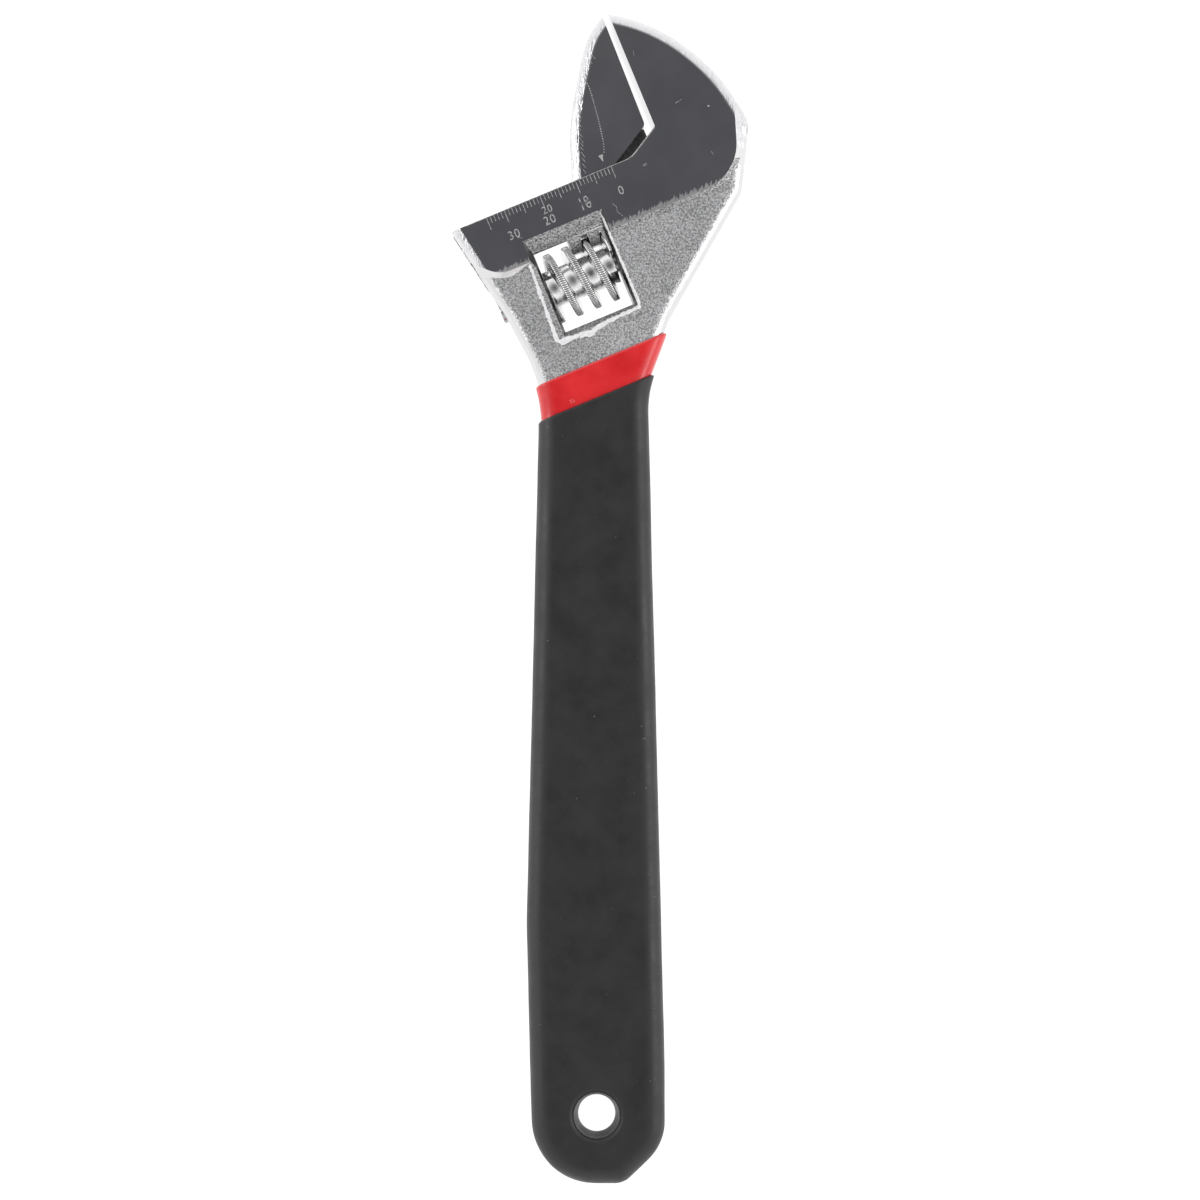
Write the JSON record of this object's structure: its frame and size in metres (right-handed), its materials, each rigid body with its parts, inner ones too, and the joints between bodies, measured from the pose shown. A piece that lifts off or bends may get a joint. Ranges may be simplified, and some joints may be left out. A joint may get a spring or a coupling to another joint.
{
  "type": "adjustable wrench",
  "caption": "Adjustable wrench with a sliding jaw driven by a knurled worm, a forged head and a dipped two-layer grip with a hang hole.",
  "frame": {"origin": "centre of the hang hole on the mid-plane of the handle", "axes": "+Y along the handle towards the head, +Z through the thickness, +X to the fixed jaw's side"},
  "size_m": [0.0773, 0.3049, 0.0186],
  "materials": {
    "forged_body": "polished plateau and mouth, bead-blasted cheeks",
    "movable_jaw": "polished faces, satin sides",
    "adjusting_knurl": "serrated satin",
    "knurl_pin": "turned",
    "knurl_spring": "drawn wire",
    "red_grip_undercoat": "glossy dipped vinyl",
    "black_grip_sleeve": "satin dipped vinyl"
  },
  "bodies": {
    "root": {"forged_body": "forged_body", "knurl_pin": "knurl_pin", "red_grip_undercoat": "red_grip_undercoat", "black_grip_sleeve": "black_grip_sleeve"},
    "jaw": {"movable_jaw": "movable_jaw"},
    "knurl": {"adjusting_knurl": "adjusting_knurl", "knurl_spring": "knurl_spring"}
  },
  "joints": [
    {"name": "knurl_spin", "type": "hinge", "parent": "root", "child": "knurl", "pos_m": [-0.00404, 0.21885, 0], "axis": [0.9239, 0.3827, 0], "range_deg": [-118, 2259]},
    {"name": "jaw_slide", "type": "slide", "parent": "root", "child": "jaw", "axis": [-0.9239, -0.3827, 0], "range_m": [-0.00168, 0.0323]}
  ],
  "couplings": [
    {"joint": "knurl_spin", "follows": "jaw_slide", "rad_per_m": 1220}
  ]
}
